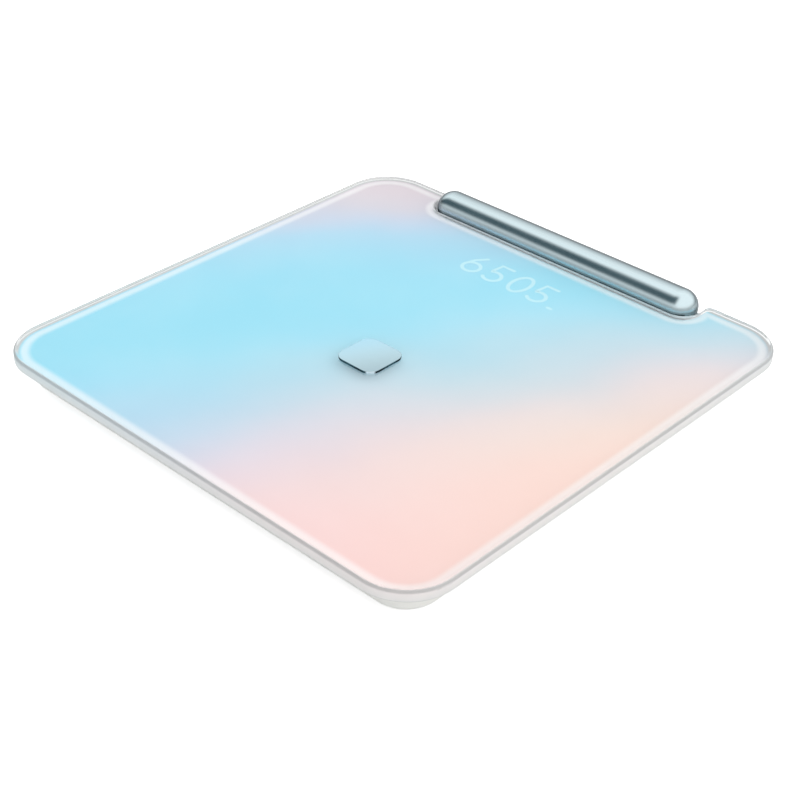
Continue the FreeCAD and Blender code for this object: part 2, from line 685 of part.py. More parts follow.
def leaf_shape(reach, half_height, metal, width):
    """A bent leaf contact: a V of thin metal with its point at the origin, opening along +Y."""
    outline = [(0, 0), (reach, half_height), (reach, half_height - 1.4 * metal),
               (1.4 * metal, 0), (reach, 1.4 * metal - half_height), (reach, -half_height), (0, 0)]
    wire = Part.makePolygon([FreeCAD.Vector(-width / 2, y, z) for y, z in outline])
    return Part.Face(wire).extrude(FreeCAD.Vector(width, 0, 0))


def make_power():
    """Four AAA cells between leaf and plate contacts, and the hinged door below them."""
    middle = d.door + d.tray_bottom + 0.2 + d.battery_radius
    half = d.battery_length / 2
    cells = []
    plates = []
    springs = []
    for i, x, plus in cell_places():
        can = rod(f"battery_can_{i}", x, -d.bay_front - half, middle, d.battery_radius,
                  d.battery_length, "Y")
        nub_start = -d.bay_front + half if plus > 0 else -d.bay_front - half - 1.2
        nub = rod(f"battery_nub_{i}", x, nub_start, middle, 1.9, 1.2, "Y")
        cells.append(fuse(f"battery_{i}", [can, nub]))
        for end in (-1, 1):
            plates.append(box(f"contact_{i}_{end}", x,
                              -d.bay_front + end * (d.bay_length / 2 - 0.2), middle - 4,
                              9, 0.4, 8))
        spring = doc.addObject("Part::Feature", f"battery_leaf_{i}")
        spring.Shape = leaf_shape(3.4, 3.6, 0.3, 5.0)
        tip = -plus * (half.value + 0.1)
        spring.Placement = FreeCAD.Placement(
            FreeCAD.Vector(x.value, tip - d.bay_front.value, middle.value),
            FreeCAD.Rotation(FreeCAD.Vector(0, 0, 1), 90 + 90 * plus))
        springs.append(spring)
    node("battery_cells", group("battery_set", cells))
    node("battery_contacts", group("contact_set", plates))
    node("battery_springs", group("spring_set", springs))

    width = d.bay_width - 2 * d.door_gap
    length = d.bay_length - 2 * d.door_gap
    slab = rounded_body("door_slab", 0, -d.bay_front, d.tray_bottom, width, length, 1.5, d.door)
    tongue = box("door_tongue", 0, -d.bay_front + length / 2 + 1, d.tray_bottom + 0.1, 12, 4, 0.7)
    grips = [box(f"door_grip_{i}", 0, -d.bay_front + 14 + 2.4 * i, d.tray_bottom - 0.1, 18, 1, 0.5)
             for i in range(3)]
    door = cut("door_cut", fuse("door_whole", [slab, tongue]), grips)
    node("battery_door", door)


# ---------------------------------------------------------------- electronics

def board(name, x, y, z, width, depth, screws, label):
    """A circuit board with its screw holes."""
    holes = [rod(f"{name}_hole_{i}", hole_x, hole_y, z - 1, d.screw_radius + 0.15, d.board + 2)
             for i, (hole_x, hole_y) in enumerate(screws)]
    node(label, cut(f"{name}_cut", box(f"{name}_blank", x, y, z, width, depth, d.board), holes))


# Where the wells of the four digits and of the unit mark stand across the display.
WELL_PLACES = (-29.1, -12.9, 4.3, 19.6, 32.1)


def make_display():
    """The display: board, light box with a well for each digit, diffuser and LEDs."""
    width, depth, y = d.display_width, d.display_depth, d.display_back
    board("display_board", 0, y, d.display_bottom, width + 16, depth + 5,
          list(display_screw_places()), "display_board")
    top = d.display_bottom + d.board
    block = box("light_box", 0, y, top, width, depth, 5)
    wells = []
    leds = []
    for i, x in enumerate(WELL_PLACES):
        well_width, well_depth, well_y = (15.0, 23.0, y) if i < 4 else (6.0, 6.0, y - 9)
        wells.append(box(f"well_{i}", x, well_y, top - 1, well_width, well_depth, 8))
        rows = (-8.0, 0.0, 8.0) if i < 4 else (0.0,)
        leds += [box(f"led_{i}_{j}", x, well_y + row, top, 3.0, 1.6, 0.8)
                 for j, row in enumerate(rows)]
    node("display_light_box", cut("light_box_cut", block, wells))
    node("display_leds", group("led_set", leds))
    node("display_diffuser", box("diffuser", 0, y, top + 5, width, depth, 0.4))


def make_main_board():
    """The main board, its chips and its connectors, held by four screws."""
    x, y = -d.main_left, -d.main_front
    board("main_board", x, y, d.main_bottom, d.main_width, d.main_depth,
          list(main_screw_places()), "main_board")
    top = d.main_bottom + d.board
    chips = [("processor", 4, 3, 9, 9, 1.2), ("radio_module", -14, -6, 12, 16, 2.2),
             ("converter", 16, -6, 5, 5, 1.0), ("memory", 16, 6, 5, 6, 1.0),
             ("crystal", -3, 9, 3.2, 2.5, 0.9), ("capacitor", 2, -11, 4, 3, 2.0)]
    node("board_chips", group("chip_set", [
        box(name, x + off_x, y + off_y, top, wide, deep, tall)
        for name, off_x, off_y, wide, deep, tall in chips]))
    half_x, half_y = d.main_width / 2, d.main_depth / 2
    plugs = [("plug_front_left", x - half_x + 2.5, y - 10, 5, 5),
             ("plug_back_left", x - half_x + 2.5, y + 10, 5, 5),
             ("plug_front_right", x - 14, y - half_y + 2.5, 5, 5),
             ("plug_back_right", x + half_x - 2.5, y + 9, 5, 5),
             ("plug_battery", x + half_x - 10, y - half_y + 2.5, 5, 5),
             ("plug_switch", x + half_x - 2.5, y - 7, 5, 5),
             ("plug_reel", x + half_x - 10, y + half_y - 2.5, 5, 5)]
    sockets = [box(name, place_x, place_y, top, wide, deep, 2.6)
               for name, place_x, place_y, wide, deep in plugs]
    sockets.append(box("plug_display", x + 10, y + half_y - 4, top, 9, 4, 2.2))
    node("board_connectors", group("connector_set", sockets))


def make_unit_button():
    """The unit button in the underside, and the switch on a small board above it."""
    x, y = d.knob_across, -d.bay_front
    inside = d.tray_bottom + d.tray_wall + 0.05
    cap = rod("knob_cap", x, y, d.tray_bottom + 0.1, d.knob_radius, inside - d.tray_bottom - 0.1)
    rim = rod("knob_rim", x, y, inside, d.knob_radius + 1.2, 1)
    stem_top = d.switch_board - 1.3 - d.knob_travel
    stem = rod("knob_stem", x, y, inside + 1, 1.5, stem_top - inside - 1)
    node("unit_button", fuse("knob_whole", [cap, rim, stem]))
    case = box("switch_case", x, y, d.switch_board - 0.9, 6, 6, 0.9)
    plunger = rod("switch_plunger", x, y, d.switch_board - 1.3, 1.2, 0.4)
    node("unit_switch", fuse("switch_whole", [case, plunger]))
    board("switch_board", x, y, d.switch_board, 24, 14, list(switch_screw_places()),
          "switch_board")


# ---------------------------------------------------------------- the cord reel

def spiral_shape(first, last, pitch, thickness, height):
    """A flat spiral strip made of half circles that grow by half a pitch each."""
    def chain(offset):
        edges = []
        radius = first + offset
        centre = 0.0
        side = 1
        while radius < last + offset:
            start = FreeCAD.Vector(centre + side * radius, 0, 0)
            middle = FreeCAD.Vector(centre, side * radius, 0)
            end = FreeCAD.Vector(centre - side * radius, 0, 0)
            edges.append(Part.Arc(start, middle, end).toShape())
            centre += side * pitch / 2
            radius += pitch / 2
            side = -side
        return edges

    inner = chain(0.0)
    outer = chain(thickness)
    ends = [Part.LineSegment(inner[0].Vertexes[0].Point, outer[0].Vertexes[0].Point).toShape(),
            Part.LineSegment(inner[-1].Vertexes[-1].Point,
                             outer[-1].Vertexes[-1].Point).toShape()]
    outline = Part.Wire(Part.__sortEdges__(inner + outer + ends))
    return Part.Face(outline).extrude(FreeCAD.Vector(0, 0, height))


def make_reel():
    """The reel that draws the handle's cord in: housing, axle, drum, spiral spring, cover."""
    y = d.reel_back
    floor = 1.2
    lugs = list(reel_lug_places())

    def with_lugs(name, base, z, height):
        ears = [rod(f"{name}_ear_{i}", ear_x, ear_y, z, 3.2, height)
                for i, (ear_x, ear_y) in enumerate(lugs)]
        holes = [rod(f"{name}_ear_hole_{i}", ear_x, ear_y, z - 1, d.screw_radius + 0.1,
                     as_size(height) + 2)
                 for i, (ear_x, ear_y) in enumerate(lugs)]
        return fuse(f"{name}_eared", [base] + ears), holes

    tall = d.reel_top - d.reel_bottom
    cup, ear_holes = with_lugs("cup", rod("cup_outer", 0, y, d.reel_bottom, d.reel_radius, tall),
                               d.reel_bottom, tall)
    room = rod("cup_room", 0, y, d.reel_bottom + floor, d.reel_radius - d.reel_wall, tall)
    slot = box("cup_slot", 0, y + d.reel_radius - 2, d.reel_bottom + floor + 2, 12, 12, 4)
    seat = rod("axle_seat", 0, y, d.reel_bottom - 1, d.axle_radius, 4)
    node("reel_housing", cut("cup_cut", cup, [room, slot, seat] + ear_holes))
    node("reel_axle", rod("axle", 0, y, d.reel_bottom, d.axle_radius, tall))

    low = d.reel_bottom + floor + 0.8
    high = d.reel_top - 0.8
    hub = rod("drum_hub", 0, y, low, d.drum_radius, high - low)
    flanges = [rod("drum_low_flange", 0, y, low, d.flange_radius, d.flange),
               rod("drum_high_flange", 0, y, high - d.flange, d.flange_radius, d.flange)]
    bore = rod("drum_bore", 0, y, low - 1, d.axle_radius + d.running_gap, 20)
    spring_room = rod("drum_spring_room", 0, y, low - 1, d.drum_radius - 1.5, high - low - 1)
    node("reel_drum", cut("drum_cut", fuse("drum_whole", [hub] + flanges), [bore, spring_room]))

    spring = doc.addObject("Part::Feature", "reel_spiral")
    spring.Shape = spiral_shape(4.0, 14.0, 1.8, 0.35, 3.4)
    spring.Placement.Base = FreeCAD.Vector(0, y.value, (low + 0.6).value)
    node("reel_spring", spring)

    lid, lid_holes = with_lugs("lid", rod("lid_disc", 0, y, d.reel_top, d.reel_radius, 1),
                               d.reel_top, 1)
    node("reel_cover", cut("lid_cut", lid, lid_holes))


# ---------------------------------------------------------------- fasteners and inner cables

def screw(name, x, y, head_z, length, up=False):
    """A pan-head screw; its head's bearing face is at head_z and its shank points down or up."""
    if up:
        head = rod(f"{name}_head", x, y, head_z - 1.2, d.screw_head, 1.2)
        shank = rod(f"{name}_shank", x, y, head_z, d.screw_radius, length)
    else:
        head = rod(f"{name}_head", x, y, head_z, d.screw_head, 1.2)
        shank = rod(f"{name}_shank", x, y, head_z - length, d.screw_radius, length)
    return fuse(name, [head, shank])


def make_screws():
    """Every screw, in groups by what they hold."""
    sets = [("main_board_screws", main_screw_places(), d.main_bottom + d.board, 4.5),
            ("display_screws", display_screw_places(), d.display_bottom + d.board, 5.0),
            ("switch_board_screws", switch_screw_places(), d.switch_board + d.board, 5.0),
            ("reel_screws", reel_lug_places(), d.reel_top + 1, 10.8)]
    for label, places, head_z, length in sets:
        node(label, group(f"{label}_set", [
            screw(f"{label}_{i}", x, y, head_z, length) for i, (x, y) in enumerate(places)]))
    head_z = d.tray_bottom + 2
    node("cradle_screws", group("cradle_screw_set", [
        screw(f"cradle_screw_{i}", x, y, head_z, 6, up=True)
        for i, (x, y) in enumerate(cradle_screw_places())]))


def cable_shape(points, bend, radius, height):
    """A level cable: straight runs joined by tangent arcs, with its volume checked."""
    stops = [FreeCAD.Vector(x, y, height) for x, y in points]
    edges = []
    here = stops[0]
    for before, corner, after in zip(stops, stops[1:], stops[2:]):
        inward = (before - corner).normalize()
        outward = (after - corner).normalize()
        half_turn = (math.pi - inward.getAngle(outward)) / 2
        reach = bend * math.tan(half_turn)
        bisector = (inward + outward).normalize()
        centre = corner + bisector * (bend / math.cos(half_turn))
        start = corner + inward * reach
        end = corner + outward * reach
        edges.append(Part.LineSegment(here, start).toShape())
        edges.append(Part.Arc(start, centre - bisector * bend, end).toShape())
        here = end
    edges.append(Part.LineSegment(here, stops[-1]).toShape())
    path = Part.Wire(edges)
    along = (stops[1] - stops[0]).normalize()
    profile = Part.Wire(Part.makeCircle(radius, stops[0], along))
    solid = path.makePipeShell([profile], True, False)
    expected = math.pi * radius ** 2 * path.Length
    assert abs(solid.Volume - expected) < 0.01 * expected, "a cable has the wrong volume"
    return solid


def make_cables():
    """The cables between the load cells, battery bay, reel, switch, display and main board."""
    left, right = -d.main_left - d.main_width / 2, -d.main_left + d.main_width / 2
    front, back = -d.main_front - d.main_depth / 2, -d.main_front + d.main_depth / 2
    left, right, front, back = left.value, right.value, front.value, back.value
    board_y = -d.main_front.value
    cell_x = d.foot_across.value - d.cell_side.value / 2
    cell_y = d.foot_along.value
    bay_left = -d.bay_width.value / 2 - d.bay_wall.value
    lane = cell_x - 6
    routes = {
        "load_cell_wires": [
            [(-cell_x, -cell_y), (-lane, -cell_y), (-lane, board_y - 10), (left, board_y - 10)],
            [(-cell_x, cell_y), (-lane, cell_y), (-lane, board_y + 10), (left, board_y + 10)],
            [(cell_x, -cell_y), (82, -cell_y), (74, -116), (-62, -116), (-70, -104), (-70, front)],
            [(cell_x, cell_y), (lane, cell_y), (lane, -6), (-10, -6), (-18, board_y + 9),
             (right, board_y + 9)],
        ],
        "battery_wires": [[(bay_left, -68), (right - 10, -68), (right - 10, front)]],
        "switch_wires": [[(48, -77), (48, -46), (-14, -46), (-20, board_y - 7),
                          (right, board_y - 7)]],
        "reel_wires": [[(-d.reel_radius.value, d.reel_back.value),
                        (right - 10, d.reel_back.value), (right - 10, back)]],
    }
    for label, paths in routes.items():
        cables = []
        for i, points in enumerate(paths):
            cable = doc.addObject("Part::Feature", f"{label}_{i}")
            cable.Shape = cable_shape(points, d.wire_bend.value, d.wire_radius.value,
                                      d.wire_height.value)
            cables.append(cable)
        node(label, group(f"{label}_set", cables))
    ribbon_front = -d.main_front + d.main_depth / 2 - 6
    ribbon_back = d.display_back - d.display_depth / 2 + 2
    middle = (ribbon_front + ribbon_back) / 2
    node("display_ribbon", box("ribbon", -d.main_left + 10, middle,
                               d.display_bottom + d.board + 0.05, 7,
                               ribbon_back - ribbon_front, 0.3))


def check_and_export():
    """Stops at any failed object, then writes each sub-part to its own file."""
    doc.recompute()
    failed = [piece.Name for piece in doc.Objects
              if "Invalid" in piece.State or "Error" in piece.State]
    assert not failed, f"failed objects: {failed}"
    for piece in nodes:
        assert not piece.Shape.isNull(), f"{piece.Label} has no shape"
        assert piece.Shape.isValid(), f"{piece.Label} is not valid"
    os.makedirs("parts", exist_ok=True)
    for piece in nodes:
        piece.Shape.exportStep(f"parts/{piece.Label}.step")
        print(f"{piece.Label}: {len(piece.Shape.Solids)} solid(s), {piece.Shape.Volume:.1f} mm3")


make_glass()
film_bottom = make_film()
make_tape(film_bottom)
make_badge()
make_tray()
make_cradle()
make_handle()
for foot in feet():
    make_foot(*foot)
make_power()
make_display()
make_main_board()
make_unit_button()
make_reel()
make_screws()
make_cables()
check_and_export()
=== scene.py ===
"""Digital bathroom scale: materials, display digits, a dark notch strip of painted shade, studio
and camera.

Everything is in metres in the CAD's frame: +Z up, +X along the handle, +Y towards the handle.
The shapes are the CAD nodes themselves; this script gives them their surfaces, and adds the
display's lit figures and a thin dark strip in the handle's notch, painted shade for the gap under
the handle.
"""
import json
import math
import bmesh
import bpy
from mathutils import Matrix, Vector


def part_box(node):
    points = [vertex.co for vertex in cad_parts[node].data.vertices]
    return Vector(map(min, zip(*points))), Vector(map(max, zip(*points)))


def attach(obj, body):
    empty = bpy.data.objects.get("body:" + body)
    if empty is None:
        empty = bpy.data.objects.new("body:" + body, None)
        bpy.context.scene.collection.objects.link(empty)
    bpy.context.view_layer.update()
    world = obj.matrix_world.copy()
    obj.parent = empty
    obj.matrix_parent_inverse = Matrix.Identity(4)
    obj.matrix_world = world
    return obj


MM = 0.001

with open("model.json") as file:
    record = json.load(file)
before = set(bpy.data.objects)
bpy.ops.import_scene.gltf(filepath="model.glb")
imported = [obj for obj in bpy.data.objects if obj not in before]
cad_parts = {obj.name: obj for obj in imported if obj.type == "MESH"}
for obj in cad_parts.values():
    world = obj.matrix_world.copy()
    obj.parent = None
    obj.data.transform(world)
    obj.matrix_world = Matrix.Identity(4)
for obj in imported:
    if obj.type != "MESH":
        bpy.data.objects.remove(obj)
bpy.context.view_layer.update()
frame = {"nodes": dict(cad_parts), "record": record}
nodes = frame["nodes"]
slot_of = {part["node"]: part["material_slot"] for part in frame["record"]["subparts"]}


# ---------------------------------------------------------------- material helpers

def tone(red, green, blue):
    """A colour given as it looks on a screen, 0 to 255, as a linear RGBA colour."""
    def linear(value):
        value /= 255
        return value / 12.92 if value <= 0.04045 else ((value + 0.055) / 1.055) ** 2.4
    return (linear(red), linear(green), linear(blue), 1.0)


class Look:
    """A Principled material, and short ways to add the nodes that feed it."""

    def __init__(self, name, **sockets):
        self.material = bpy.data.materials.new(name)
        self.material.use_nodes = True
        self.tree = self.material.node_tree
        self.shader = self.tree.nodes["Principled BSDF"]
        self.output = self.tree.nodes["Material Output"]
        for key, value in sockets.items():
            self.shader.inputs[key.replace("_", " ")].default_value = value
        places = self.tree.nodes.new("ShaderNodeTexCoord")
        self.where = places.outputs["Object"]
        self.facing = places.outputs["Normal"]

    def add(self, kind, **settings):
        item = self.tree.nodes.new("ShaderNode" + kind)
        for key, value in settings.items():
            setattr(item, key, value)
        return item

    def join(self, source, target):
        self.tree.links.new(source, target)

    def feed(self, source, socket):
        self.tree.links.new(source, self.shader.inputs[socket])

    def stretched(self, scale):
        """Object coordinates scaled by a different amount along each axis."""
        mapping = self.add("Mapping")
        mapping.inputs["Scale"].default_value = scale
        self.join(self.where, mapping.inputs["Vector"])
        return mapping.outputs["Vector"]

    def noise(self, scale, detail=2.0, roughness=0.5, where=None):
        item = self.add("TexNoise")
        item.inputs["Scale"].default_value = scale
        item.inputs["Detail"].default_value = detail
        item.inputs["Roughness"].default_value = roughness
        self.join(where or self.where, item.inputs["Vector"])
        return item.outputs["Fac"]

    def remap(self, source, low, high, new_low, new_high, smooth=False):
        item = self.add("MapRange")
        if smooth:
            item.interpolation_type = "SMOOTHSTEP"
        for socket, value in zip(("From Min", "From Max", "To Min", "To Max"),
                                 (low, high, new_low, new_high)):
            item.inputs[socket].default_value = value
        self.join(source, item.inputs["Value"])
        return item.outputs["Result"]

    def math(self, operation, first, second=None):
        item = self.add("Math", operation=operation)
        for socket, value in zip(item.inputs, (first, second)):
            if isinstance(value, (int, float)):
                socket.default_value = value
            elif value is not None:
                self.join(value, socket)
        return item.outputs["Value"]

    def axis(self, letter, where=None):
        item = self.add("SeparateXYZ")
        self.join(where or self.where, item.inputs["Vector"])
        return item.outputs[letter]

    def dot(self, direction, where=None):
        item = self.add("VectorMath", operation="DOT_PRODUCT")
        item.inputs[1].default_value = direction
        self.join(where or self.where, item.inputs[0])
        return item.outputs["Value"]

    def ramp(self, source, stops, smooth=True):
        item = self.add("ValToRGB")
        band = item.color_ramp
        band.interpolation = "B_SPLINE" if smooth else "LINEAR"
        while len(band.elements) < len(stops):
            band.elements.new(0.5)
        for element, (place, colour) in zip(band.elements, stops):
            element.position = place
            element.color = colour
        self.join(source, item.inputs["Fac"])
        return item.outputs["Color"]

    def mix(self, factor, first, second, blend="MIX"):
        item = self.add("Mix", data_type="RGBA", blend_type=blend)
        for socket, value in zip((item.inputs[0], item.inputs[6], item.inputs[7]),
                                 (factor, first, second)):
            if isinstance(value, (int, float, tuple)):
                socket.default_value = value
            else:
                self.join(value, socket)
        return item.outputs[2]

    def bump(self, height, distance, strength=1.0, before=None):
        item = self.add("Bump")
        item.inputs["Distance"].default_value = distance
        item.inputs["Strength"].default_value = strength
        self.join(height, item.inputs["Height"])
        if before is not None:
            self.join(before, item.inputs["Normal"])
        self.feed(item.outputs["Normal"], "Normal")
        return item.outputs["Normal"]


def darkened(colour, share):
    """The colour with this share of its light taken away."""
    return tuple(channel * (1 - share) for channel in colour[:3]) + (1.0,)


def moulded(name, colour, rough=0.45, grain=0.35 * MM, depth=0.012 * MM, shade=0.05):
    """Moulded plastic: a fine spark-eroded grain, soft flow marks and uneven gloss."""
    look = Look(name)
    fine = look.noise(1 / grain, 3.0, 0.6)
    flow = look.noise(28.0, 3.0, 0.55)
    darker = darkened(colour, shade)
    look.feed(look.mix(look.remap(flow, 0.35, 0.65, 0.0, 1.0), colour, darker), "Base Color")
    gloss = look.math("ADD", look.remap(fine, 0.3, 0.7, rough - 0.05, rough + 0.06),
                      look.remap(flow, 0.3, 0.7, -0.03, 0.03))
    look.feed(gloss, "Roughness")
    look.bump(fine, depth)
    return look


def metal(name, colour, rough=0.25, lay=(30.0, 900.0, 900.0), depth=0.002 * MM, shade=0.08):
    """Worked metal: fine lines along one axis, faint clouding and uneven polish."""
    look = Look(name, Metallic=1.0)
    lines = look.noise(1.0, 4.0, 0.6, look.stretched(lay))
    cloud = look.noise(45.0, 2.0, 0.5)
    darker = darkened(colour, shade)
    look.feed(look.mix(look.remap(lines, 0.3, 0.7, 0.0, 1.0), colour, darker), "Base Color")
    gloss = look.math("ADD", look.remap(lines, 0.3, 0.7, rough - 0.03, rough + 0.04),
                      look.remap(cloud, 0.3, 0.7, -0.02, 0.02))
    look.feed(gloss, "Roughness")
    look.bump(lines, depth)
    return look


# ---------------------------------------------------------------- the platform's own materials

GLASS_TINT = (0.985, 1.0, 0.995, 1.0)
# The ground sides' own pale grey, and a darker painted shade for the arris between the side and the
# top.
GROUND_SIDE = tone(232, 233, 232)
GROUND_ARRIS_PAINTED_SHADE = tone(184, 186, 186)


def clear_glass():
    """Low-iron tempered glass: polished top, finely ground edges with a painted shade line along
    the arris, underside bonded to the film.
    """
    look = Look("clear_glass", IOR=1.5)
    upward = look.axis("Z", look.facing)
    level = look.math("ABSOLUTE", upward)
    ground = look.remap(level, 0.78, 0.995, 1.0, 0.0, True)
    # Painted shade: the ground edge darkens from the upright side towards the sloping arris.
    edge = look.mix(look.remap(level, 0.05, 0.5, 0.0, 1.0, True), GROUND_SIDE, GROUND_ARRIS_PAINTED_SHADE)
    wipe = look.noise(1.0, 3.0, 0.6, look.stretched((18.0, 60.0, 18.0)))
    grit = look.noise(2600.0, 2.0, 0.6)
    polish = look.remap(wipe, 0.45, 0.75, 0.0, 0.03)
    frost = look.math("MULTIPLY", ground, look.remap(grit, 0.3, 0.7, 0.44, 0.56))
    look.feed(look.math("MAXIMUM", polish, frost), "Roughness")
    look.feed(look.remap(ground, 0.0, 1.0, 1.0, 0.25), "Transmission Weight")
    look.feed(look.mix(ground, GLASS_TINT, edge), "Base Color")
    # The bonded underside bends no light, and light from the film leaves through the top unbent.
    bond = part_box("glass_platform")[0].z
    above_bond = look.remap(look.axis("Z"), bond + 0.05 * MM, bond + 0.25 * MM, 0.0, 1.0)
    from_outside = look.remap(upward, -0.8, -0.5, 0.0, 1.0)
    look.feed(look.math("MINIMUM", above_bond, from_outside), "Alpha")
    return look


# How the film's colour runs from the back left corner to the front right corner: the distance
# along that diagonal in millimetres, and the colour seen there.
FILM_BANDS = [
    (-190, (227, 214, 221)), (-160, (219, 215, 225)), (-140, (203, 218, 239)),
    (-120, (178, 222, 245)), (-85, (158, 228, 249)), (-50, (158, 230, 250)),
    (-20, (168, 231, 250)), (5, (183, 228, 243)), (40, (205, 226, 236)),
    (62, (220, 225, 233)), (85, (240, 225, 227)), (110, (251, 226, 221)),
    (140, (258, 224, 218)), (190, (258, 221, 214)),
]
FILM_REACH = 190 * MM
FILM_VEIL = 0.095      # what the glass's own reflections add to the film's colour
FILM_GAIN = 1.01       # how much of the film's colour comes back through the glass
PLATFORM_CORNER = 28.5 * MM
NOTCH_HALF = 95.0 * MM
NOTCH_FRONT = 128.6 * MM
NOTCH_CORNER = 11.0 * MM
WHITE = (1.0, 1.0, 1.0, 1.0)
MICA = (0.93, 0.95, 1.0, 1.0)
# Grey painted shade on the film's outer margin.
FILM_MARGIN_PAINTED_SHADE = (0.60, 0.61, 0.61, 1.0)


def film_colour(screen):
    """The film's own colour for the colour seen through the glass."""
    own = ((channel - FILM_VEIL) / FILM_GAIN for channel in tone(*screen)[:3])
    return tuple(min(1.0, max(0.0, channel)) for channel in own) + (1.0,)


def rounded_distance(look, centre_y, half_x, half_y, corner):
    """Distance outside a rounded rectangle in plan, negative inside it."""
    flat = look.add("VectorMath", operation="MULTIPLY_ADD")
    flat.inputs[1].default_value = (1.0, 1.0, 0.0)
    flat.inputs[2].default_value = (0.0, -centre_y, 0.0)
    look.join(look.where, flat.inputs[0])
    mirrored = look.add("VectorMath", operation="ABSOLUTE")
    look.join(flat.outputs["Vector"], mirrored.inputs[0])
    past = look.add("VectorMath", operation="SUBTRACT")
    past.inputs[1].default_value = (half_x - corner, half_y - corner, 0.0)
    look.join(mirrored.outputs["Vector"], past.inputs[0])
    beyond = look.add("VectorMath", operation="MAXIMUM")
    look.join(past.outputs["Vector"], beyond.inputs[0])
    length = look.add("VectorMath", operation="LENGTH")
    look.join(beyond.outputs["Vector"], length.inputs[0])
    parts = look.add("SeparateXYZ")
    look.join(past.outputs["Vector"], parts.inputs["Vector"])
    inside = look.math("MINIMUM", look.math("MAXIMUM", parts.outputs["X"], parts.outputs["Y"]), 0.0)
    return look.math("SUBTRACT", look.math("ADD", length.outputs["Value"], inside), corner)


def painted_edge_light(look):
    """How far the film takes the painted highlight band inside its edge and round the notch, and
    how far the grey painted shade of its outer margin.
    """
    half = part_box("glass_platform")[1].x
    past_edge = rounded_distance(look, 0.0, half, half, PLATFORM_CORNER)
    from_edge = look.math("MULTIPLY", past_edge, -1.0)
    depth = 0.1
    from_notch = rounded_distance(look, NOTCH_FRONT + depth, NOTCH_HALF, depth, NOTCH_CORNER)
    near = look.math("MINIMUM", from_edge, look.math("ADD", from_notch, 2.6 * MM))
    rise = look.remap(near, 2.6 * MM, 4.8 * MM, 0.0, 1.0, True)
    fall = look.remap(near, 6.0 * MM, 10.0 * MM, 1.0, 0.0, True)
    painted_margin_shade = look.remap(near, 2.0 * MM, 3.6 * MM, 1.0, 0.0, True)
    return look.math("MULTIPLY", rise, fall), painted_margin_shade


def decor_film():
    """Pearl film: wide soft bands of colour across the diagonal, with a fine mica sparkle, a
    painted highlight band along its edge and painted shade on its outer margin.
    """
    look = Look("decor_film", Specular_IOR_Level=0.0)
    half = math.sqrt(0.5)
    across = look.dot((half, -half, 0.0))
    along = look.dot((half, half, 0.0))
    fan = look.math("MULTIPLY", along, look.remap(across, -0.08, 0.03, 0.0, 0.33, True))
    drift = look.remap(look.noise(9.0, 2.0, 0.45), 0.3, 0.7, -0.012, 0.012)
    place = look.math("ADD", look.math("ADD", across, fan), drift)
    stops = [((distance * MM + FILM_REACH) / (2 * FILM_REACH), film_colour(colour))
             for distance, colour in FILM_BANDS]
    bands = look.ramp(look.remap(place, -FILM_REACH, FILM_REACH, 0.0, 1.0), stops)
    warm = look.remap(along, -0.12, 0.12, 0.0, 1.0, True)
    tint = look.mix(warm, (1.0, 0.965, 1.045, 1.0), (1.0, 1.03, 0.965, 1.0))
    tinted = look.mix(look.remap(across, 0.0, 0.09, 0.0, 1.0, True), bands,
                      look.mix(1.0, bands, tint, "MULTIPLY"))
    flakes = look.noise(2600.0, 1.0, 0.5)
    cloud = look.noise(16.0, 3.0, 0.55)
    pearl = look.mix(look.remap(cloud, 0.35, 0.7, 0.0, 0.06), tinted, WHITE)
    sparkled = look.mix(look.remap(flakes, 0.35, 0.65, 0.0, 0.05), pearl, MICA)
    # Painted highlight: a pale band just inside the film's edge and the notch; painted shade: a
    # grey outer margin.
    glow, painted_margin_shade = painted_edge_light(look)
    with_painted_glow = look.mix(look.math("MULTIPLY", glow, 0.5), sparkled, WHITE)
    look.feed(look.mix(painted_margin_shade, with_painted_glow, FILM_MARGIN_PAINTED_SHADE), "Base Color")
    look.feed(look.remap(flakes, 0.3, 0.7, 0.36, 0.5), "Roughness")
    look.bump(flakes, 0.004 * MM)
    return look


STEEL_LIGHT = (0.58, 0.69, 0.72, 1.0)
STEEL_DARK = (0.51, 0.62, 0.66, 1.0)
STEEL_PAINTED_OUTLINE = (0.13, 0.17, 0.19, 1.0)


def bar_steel():
    """The handle's satin blue-grey steel, drawn lengthwise and bead-blasted very finely, with
    painted shade along its outline.
    """
    look = Look("handle_steel", Metallic=1.0)
    drawn = look.noise(1.0, 3.0, 0.6, look.stretched((25.0, 1400.0, 1400.0)))
    bead = look.noise(5200.0, 2.0, 0.6)
    cloud = look.noise(30.0, 2.0)
    # Painted shade: the colour darkens where the surface turns away, drawing a dark outline.
    edge = look.add("LayerWeight")
    edge.inputs["Blend"].default_value = 0.5
    painted_outline = look.remap(edge.outputs["Facing"], 0.22, 0.80, 0.0, 1.0, True)
    steel = look.mix(look.remap(drawn, 0.3, 0.7, 0.0, 0.5), STEEL_LIGHT, STEEL_DARK)
    look.feed(look.mix(painted_outline, steel, STEEL_PAINTED_OUTLINE), "Base Color")
    gloss = look.math("ADD", look.remap(bead, 0.3, 0.7, 0.21, 0.26),
                      look.remap(cloud, 0.3, 0.7, -0.015, 0.02))
    look.feed(gloss, "Roughness")
    look.bump(bead, 0.0012 * MM)
    return look


# Painted reflection across the badge's top, pale at the back left.
BADGE_PAINTED_REFLECTION = [(0.0, (0.35, 0.60, 0.72, 1.0)), (0.3, (0.40, 0.60, 0.69, 1.0)),
               (0.65, (0.38, 0.52, 0.57, 1.0)), (1.0, (0.31, 0.42, 0.47, 1.0))]
BADGE_REACH = 17 * MM
# Painted shade on the badge's sides in two tones, and a painted glint for its front corner.
BADGE_SIDE_SHADE_DARK = (0.004, 0.016, 0.024, 1.0)
BADGE_SIDE_SHADE_LIGHT = (0.05, 0.11, 0.13, 1.0)
BADGE_PAINTED_GLINT = (0.9, 0.95, 0.97, 1.0)


